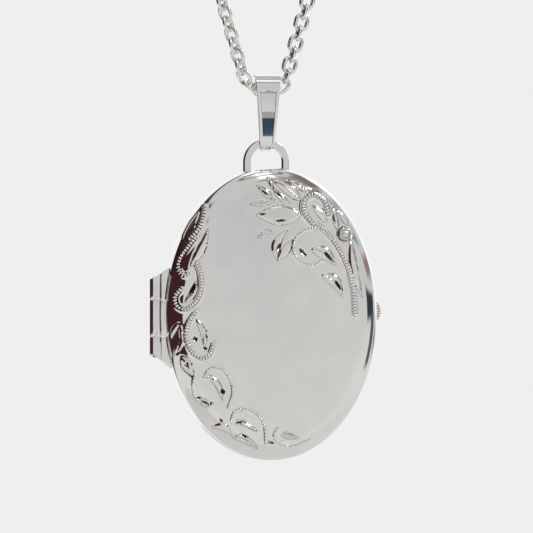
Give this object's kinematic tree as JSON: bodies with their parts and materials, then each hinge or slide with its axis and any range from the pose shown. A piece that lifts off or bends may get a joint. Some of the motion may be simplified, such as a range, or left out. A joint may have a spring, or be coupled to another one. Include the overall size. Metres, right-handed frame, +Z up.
{
  "type": "locket",
  "caption": "Oval hinged photo locket with a stamped vine on its cover, on a folded bail and a cable chain with a spring-ring clasp.",
  "frame": {"origin": "inner top of the clasp ring at the top of the chain, where a display peg carries the necklace", "axes": "+Z up, the way the locket hangs; +Y to the back of the case, so its ornamented cover faces -Y; +X to the catch side"},
  "size_m": [0.0235, 0.0057, 0.0596],
  "materials": {
    "cover_silver": "mirror-polished stamped silver with bright-cut vine ornament",
    "back_silver": "mirror-polished silver",
    "rim_silver": "satin to polished silver inside the case",
    "frame_silver": "polished silver with fine turned lines",
    "fitting_silver": "polished silver",
    "pin_silver": "drawn silver wire",
    "bail_silver": "polished silver",
    "chain_silver": "polished drawn silver wire",
    "clasp_silver": "polished silver tube",
    "spring_steel": "bare spring wire",
    "acetate": "clear glossy sheet",
    "clear_stone": "faceted clear stone"
  },
  "bodies": {
    "chain": {"chain_links": "chain_silver", "clasp_ring": "clasp_silver", "clasp_eyelet": "clasp_silver", "clasp_spring": "spring_steel", "jump_ring_fixed": "chain_silver", "jump_ring_free": "chain_silver"},
    "bolt": {"clasp_bolt": "clasp_silver"},
    "bail": {"bail": "bail_silver"},
    "back_half": {"back_cover": "back_silver", "back_rim": "rim_silver", "back_photo_frame": "frame_silver", "back_photo_window": "acetate", "hinge_knuckle_top": "fitting_silver", "hinge_knuckle_bottom": "fitting_silver", "hinge_pin": "pin_silver", "catch_keeper": "rim_silver", "case_loop": "fitting_silver"},
    "front_half": {"front_cover": "cover_silver", "front_rim": "rim_silver", "front_photo_frame": "frame_silver", "front_photo_window": "acetate", "hinge_knuckle_middle": "fitting_silver", "thumb_piece": "fitting_silver", "catch_tongue": "rim_silver", "stone_collet": "fitting_silver", "accent_stone": "clear_stone"}
  },
  "joints": [
    {"name": "bolt_slide", "type": "hinge", "parent": "chain", "child": "bolt", "pos_m": [0, 0, -0.0015], "axis": [0, -1, 0], "range_deg": [0, 50], "stiffness_Nm_per_rad": 0.0008, "springref_deg": -51.57, "deforming": ["clasp_spring"]},
    {"name": "bail_swing", "type": "hinge", "parent": "chain", "child": "bail", "pos_m": [-0.00047, 0, -0.021], "axis": [1, 0, 0], "range_deg": [-75, 75]},
    {"name": "case_swing", "type": "hinge", "parent": "bail", "child": "back_half", "pos_m": [-0.00047, 0, -0.02636], "axis": [1, 0, 0], "range_deg": [-70, 70]},
    {"name": "cover_open", "type": "hinge", "parent": "back_half", "child": "front_half", "pos_m": [-0.01177, -0.0005, -0.04385], "axis": [0, 0, -1], "range_deg": [0, 175]}
  ]
}
